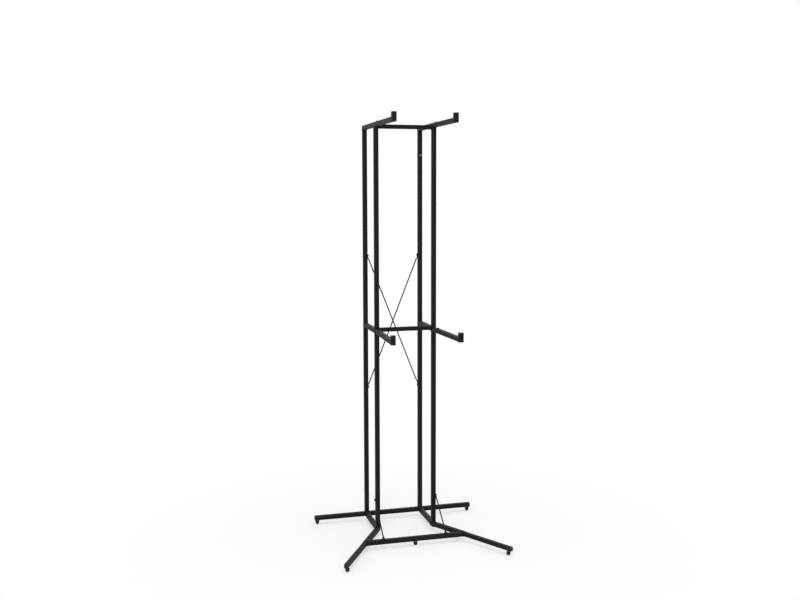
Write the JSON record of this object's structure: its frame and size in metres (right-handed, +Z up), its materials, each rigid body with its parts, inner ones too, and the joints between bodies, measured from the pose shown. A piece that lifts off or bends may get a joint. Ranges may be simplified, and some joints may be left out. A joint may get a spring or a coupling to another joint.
{
  "type": "two tier bike rack",
  "caption": "Free-standing two tier rack of black square steel tube: splayed base with levelling feet, stacked uprights, rod braces and sliding hook arms that carry cycles by the frame.",
  "frame": {"origin": "on the floor under the middle of the whole rack's bounding box", "axes": "+Z up; +Y towards the back, away from the hook arms; +X to the right seen from the front"},
  "size_m": [0.85, 0.7038, 2.078],
  "materials": {
    "frame_paint": "satin black powder coat",
    "plain_steel": "bare steel",
    "cap_plastic": "matte black plastic",
    "foot_rubber": "matte black rubber",
    "black_bolt": "black oxide",
    "zinc": "bright zinc plate"
  },
  "bodies": {
    "frame": {"rear_base_bar": "frame_paint", "front_base_bar": "frame_paint", "top_crossbar": "frame_paint", "middle_crossbar": "frame_paint", "arm_spigots": "frame_paint", "rear_foot_sockets": "frame_paint", "left_side_rail": "frame_paint", "left_inner_leg": "frame_paint", "left_outer_leg": "frame_paint", "left_stay_rod": "frame_paint", "brace_rod_rising_left": "frame_paint", "lower_front_left_upright": "frame_paint", "upper_front_left_upright": "frame_paint", "lower_rear_left_upright": "frame_paint", "upper_rear_left_upright": "frame_paint", "middle_left_side_bar": "frame_paint", "top_left_side_bar": "frame_paint", "right_side_rail": "frame_paint", "right_inner_leg": "frame_paint", "right_outer_leg": "frame_paint", "right_stay_rod": "frame_paint", "brace_rod_rising_right": "frame_paint", "lower_front_right_upright": "frame_paint", "upper_front_right_upright": "frame_paint", "lower_rear_right_upright": "frame_paint", "upper_rear_right_upright": "frame_paint", "middle_right_side_bar": "frame_paint", "top_right_side_bar": "frame_paint", "foot_nuts": "plain_steel", "upright_end_nuts": "plain_steel", "middle_studs": "plain_steel", "base_end_caps": "cap_plastic", "base_bolts": "black_bolt", "m6_bolts": "black_bolt", "rear_screw": "zinc"},
    "middle_left_arm": {"middle_left_hook_arm": "frame_paint", "middle_left_hook_cap": "cap_plastic", "middle_left_arm_screw": "black_bolt"},
    "middle_right_arm": {"middle_right_hook_arm": "frame_paint", "middle_right_hook_cap": "cap_plastic", "middle_right_arm_screw": "black_bolt"},
    "top_left_arm": {"top_left_hook_arm": "frame_paint", "top_left_hook_cap": "cap_plastic", "top_left_arm_screw": "black_bolt"},
    "top_right_arm": {"top_right_hook_arm": "frame_paint", "top_right_hook_cap": "cap_plastic", "top_right_arm_screw": "black_bolt"},
    "middle_front_foot": {"middle_front_foot_pad": "foot_rubber", "middle_front_foot_stem": "zinc"},
    "rear_left_foot": {"rear_left_foot_pad": "foot_rubber", "rear_left_foot_stem": "zinc"},
    "front_left_foot": {"front_left_foot_pad": "foot_rubber", "front_left_foot_stem": "zinc"},
    "rear_right_foot": {"rear_right_foot_pad": "foot_rubber", "rear_right_foot_stem": "zinc"},
    "front_right_foot": {"front_right_foot_pad": "foot_rubber", "front_right_foot_stem": "zinc"}
  },
  "joints": [
    {"name": "middle_left_arm_slide", "type": "slide", "parent": "frame", "child": "middle_left_arm", "axis": [-0.0436, -0.999, 0], "range_m": [-0.035, 0.024]},
    {"name": "middle_right_arm_slide", "type": "slide", "parent": "frame", "child": "middle_right_arm", "axis": [0.0436, -0.999, 0], "range_m": [-0.035, 0.024]},
    {"name": "top_left_arm_slide", "type": "slide", "parent": "frame", "child": "top_left_arm", "axis": [0, -1, 0], "range_m": [0, 0.06]},
    {"name": "top_right_arm_slide", "type": "slide", "parent": "frame", "child": "top_right_arm", "axis": [0, -1, 0], "range_m": [0, 0.06]},
    {"name": "middle_front_foot_screw", "type": "slide", "parent": "frame", "child": "middle_front_foot", "axis": [0, 0, 1], "range_m": [-0.008, 0.004]},
    {"name": "rear_left_foot_screw", "type": "slide", "parent": "frame", "child": "rear_left_foot", "axis": [0, 0, 1], "range_m": [-0.008, 0]},
    {"name": "front_left_foot_screw", "type": "slide", "parent": "frame", "child": "front_left_foot", "axis": [0, 0, 1], "range_m": [-0.008, 0.004]},
    {"name": "rear_right_foot_screw", "type": "slide", "parent": "frame", "child": "rear_right_foot", "axis": [0, 0, 1], "range_m": [-0.008, 0]},
    {"name": "front_right_foot_screw", "type": "slide", "parent": "frame", "child": "front_right_foot", "axis": [0, 0, 1], "range_m": [-0.008, 0.004]}
  ]
}
